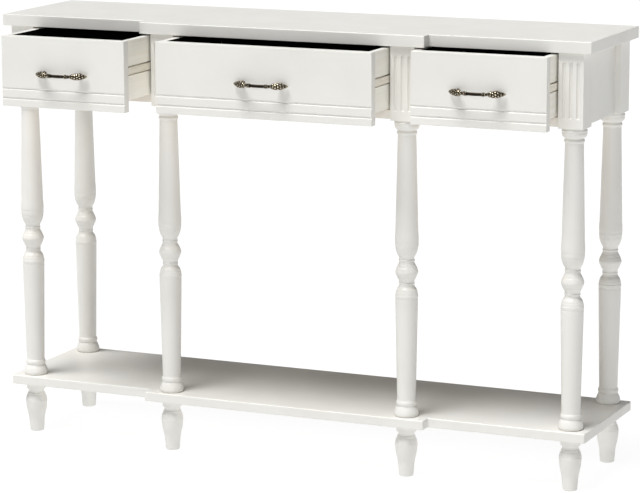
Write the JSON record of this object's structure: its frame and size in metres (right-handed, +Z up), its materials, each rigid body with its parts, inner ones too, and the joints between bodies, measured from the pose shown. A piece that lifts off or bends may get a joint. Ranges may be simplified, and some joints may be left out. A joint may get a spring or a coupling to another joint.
{
  "type": "console table",
  "caption": "Narrow breakfront console table with fluted posts, turned legs, a lower shelf on turned feet and sliding drawers with bow handles.",
  "frame": {"origin": "on the floor under the centre of the tabletop", "axes": "+X to the table's right along its length, +Y to its back, +Z up"},
  "size_m": [1.2, 0.422, 0.833],
  "materials": {
    "white_paint": "satin warm-white paint over turned wood and board",
    "drawer_board": "satin white outside, black inside",
    "drawer_floor": "matt black lining",
    "batten_wood": "bare wood",
    "beech": "bare wood",
    "antique_brass": "dark antiqued, rubbed bright on the high spots",
    "runner_steel": "cream epoxy coat",
    "stud_steel": "zinc plated",
    "screw_steel": "zinc plated"
  },
  "bodies": {
    "carcass": {"back_panel": "white_paint", "battens_left": "batten_wood", "battens_middle": "batten_wood", "battens_right": "batten_wood", "case_runners_left": "runner_steel", "case_runners_middle": "runner_steel", "case_runners_right": "runner_steel", "dowels": "beech", "foot_front_left": "white_paint", "foot_front_right": "white_paint", "foot_inner_left": "white_paint", "foot_inner_right": "white_paint", "foot_rear_left": "white_paint", "foot_rear_right": "white_paint", "leg_front_left": "white_paint", "leg_front_right": "white_paint", "leg_inner_left": "white_paint", "leg_inner_right": "white_paint", "leg_rear_left": "white_paint", "leg_rear_right": "white_paint", "leg_studs": "stud_steel", "partition_left": "white_paint", "partition_right": "white_paint", "post_front_left": "white_paint", "post_front_right": "white_paint", "post_inner_left": "white_paint", "post_inner_right": "white_paint", "post_rear_left": "white_paint", "post_rear_right": "white_paint", "rail_left": "white_paint", "rail_middle": "white_paint", "rail_right": "white_paint", "shelf": "white_paint", "side_panel_left": "white_paint", "side_panel_right": "white_paint", "tabletop": "white_paint"},
    "left_drawer": {"left_drawer_back": "drawer_board", "left_drawer_bottom": "drawer_floor", "left_drawer_front": "white_paint", "left_drawer_runners": "runner_steel", "left_drawer_side_left": "drawer_board", "left_drawer_side_right": "drawer_board", "left_handle": "antique_brass", "left_handle_screws": "screw_steel"},
    "middle_drawer": {"middle_drawer_back": "drawer_board", "middle_drawer_bottom": "drawer_floor", "middle_drawer_front": "white_paint", "middle_drawer_runners": "runner_steel", "middle_drawer_side_left": "drawer_board", "middle_drawer_side_right": "drawer_board", "middle_handle": "antique_brass", "middle_handle_screws": "screw_steel"},
    "right_drawer": {"right_drawer_back": "drawer_board", "right_drawer_bottom": "drawer_floor", "right_drawer_front": "white_paint", "right_drawer_runners": "runner_steel", "right_drawer_side_left": "drawer_board", "right_drawer_side_right": "drawer_board", "right_handle": "antique_brass", "right_handle_screws": "screw_steel"}
  },
  "joints": [
    {"name": "left_drawer_slide", "type": "slide", "parent": "carcass", "child": "left_drawer", "axis": [0, -1, 0], "range_m": [-0.128, 0.022]},
    {"name": "middle_drawer_slide", "type": "slide", "parent": "carcass", "child": "middle_drawer", "axis": [0, -1, 0], "range_m": [-0.08, 0.07]},
    {"name": "right_drawer_slide", "type": "slide", "parent": "carcass", "child": "right_drawer", "axis": [0, -1, 0], "range_m": [-0.052, 0.098]}
  ]
}
